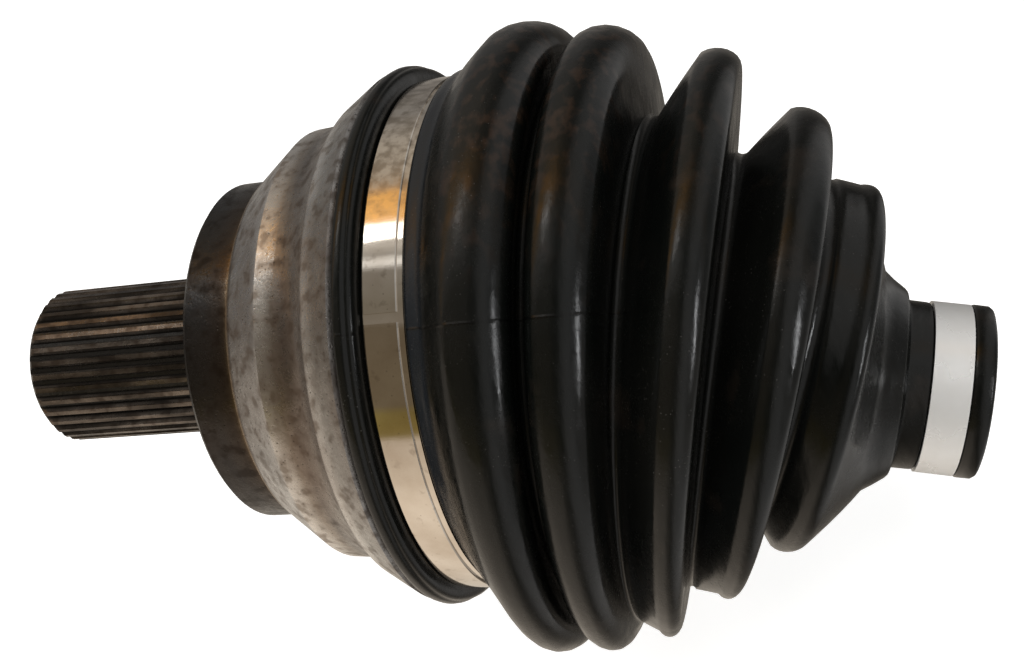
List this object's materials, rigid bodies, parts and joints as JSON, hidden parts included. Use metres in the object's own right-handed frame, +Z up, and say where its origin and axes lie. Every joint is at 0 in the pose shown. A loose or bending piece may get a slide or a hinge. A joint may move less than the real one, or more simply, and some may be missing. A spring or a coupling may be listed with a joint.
{
  "type": "drive shaft joint",
  "caption": "Outer constant-velocity joint of a drive shaft: splined stub, forged bell, caged balls, bellows boot and band clamps on the bar end.",
  "frame": {"origin": "centre of the hub shoulder's flat face on the stub's axis", "axes": "+X along the bell's axis towards the boot, +Z up, the bar bends down in the XZ plane"},
  "size_m": [0.1645, 0.104, 0.1046],
  "materials": {
    "forged_steel": "machined, lightly oiled",
    "race_steel": "ground, greased",
    "bar_steel": "satin black",
    "spring_steel": "blued",
    "washer_nylon": "matte",
    "boot_rubber": "satin",
    "clamp_steel": "polished",
    "ball_steel": "polished"
  },
  "bodies": {
    "bell": {"joint_bell": "forged_steel", "boot": "boot_rubber", "large_clamp": "clamp_steel"},
    "shaft": {"shaft_bar": "bar_steel", "inner_race": "race_steel", "race_circlip": "spring_steel", "thrust_washer": "washer_nylon", "dished_washer": "spring_steel", "small_clamp": "clamp_steel"},
    "cage": {"ball_cage": "race_steel"},
    "ball_1_body": {"ball_1": "ball_steel"},
    "ball_2_body": {"ball_2": "ball_steel"},
    "ball_3_body": {"ball_3": "ball_steel"},
    "ball_4_body": {"ball_4": "ball_steel"},
    "ball_5_body": {"ball_5": "ball_steel"},
    "ball_6_body": {"ball_6": "ball_steel"}
  },
  "joints": [
    {"name": "articulation", "type": "hinge", "parent": "bell", "child": "shaft", "pos_m": [0.036, 0, 0], "axis": [0, 1, 0], "range_deg": [-59, 31], "deforming": ["boot"]},
    {"name": "cage_half_angle", "type": "hinge", "parent": "bell", "child": "cage", "pos_m": [0.036, 0, 0], "axis": [0, 1, 0], "range_deg": [-30, 16]},
    {"name": "ball_1_track", "type": "hinge", "parent": "bell", "child": "ball_1_body", "pos_m": [0.0395, 0, 0], "axis": [0, 1, 0], "range_deg": [-30, 16]},
    {"name": "ball_2_track", "type": "hinge", "parent": "bell", "child": "ball_2_body", "pos_m": [0.0395, 0, 0], "axis": [0, 0.5, -0.866], "range_deg": [-16, 9]},
    {"name": "ball_3_track", "type": "hinge", "parent": "bell", "child": "ball_3_body", "pos_m": [0.0395, 0, 0], "axis": [0, -0.5, -0.866], "range_deg": [-9, 16]},
    {"name": "ball_4_track", "type": "hinge", "parent": "bell", "child": "ball_4_body", "pos_m": [0.0395, 0, 0], "axis": [0, -1, 0], "range_deg": [-16, 30]},
    {"name": "ball_5_track", "type": "hinge", "parent": "bell", "child": "ball_5_body", "pos_m": [0.0395, 0, 0], "axis": [0, -0.5, 0.866], "range_deg": [-9, 16]},
    {"name": "ball_6_track", "type": "hinge", "parent": "bell", "child": "ball_6_body", "pos_m": [0.0395, 0, 0], "axis": [0, 0.5, 0.866], "range_deg": [-16, 9]}
  ],
  "couplings": [
    {"joint": "cage_half_angle", "follows": "articulation", "ratio": 0.5},
    {"joint": "ball_1_track", "follows": "articulation", "ratio": 0.5},
    {"joint": "ball_2_track", "follows": "articulation", "ratio": 0.25},
    {"joint": "ball_3_track", "follows": "articulation", "ratio": -0.25},
    {"joint": "ball_4_track", "follows": "articulation", "ratio": -0.5},
    {"joint": "ball_5_track", "follows": "articulation", "ratio": -0.25},
    {"joint": "ball_6_track", "follows": "articulation", "ratio": 0.25}
  ]
}
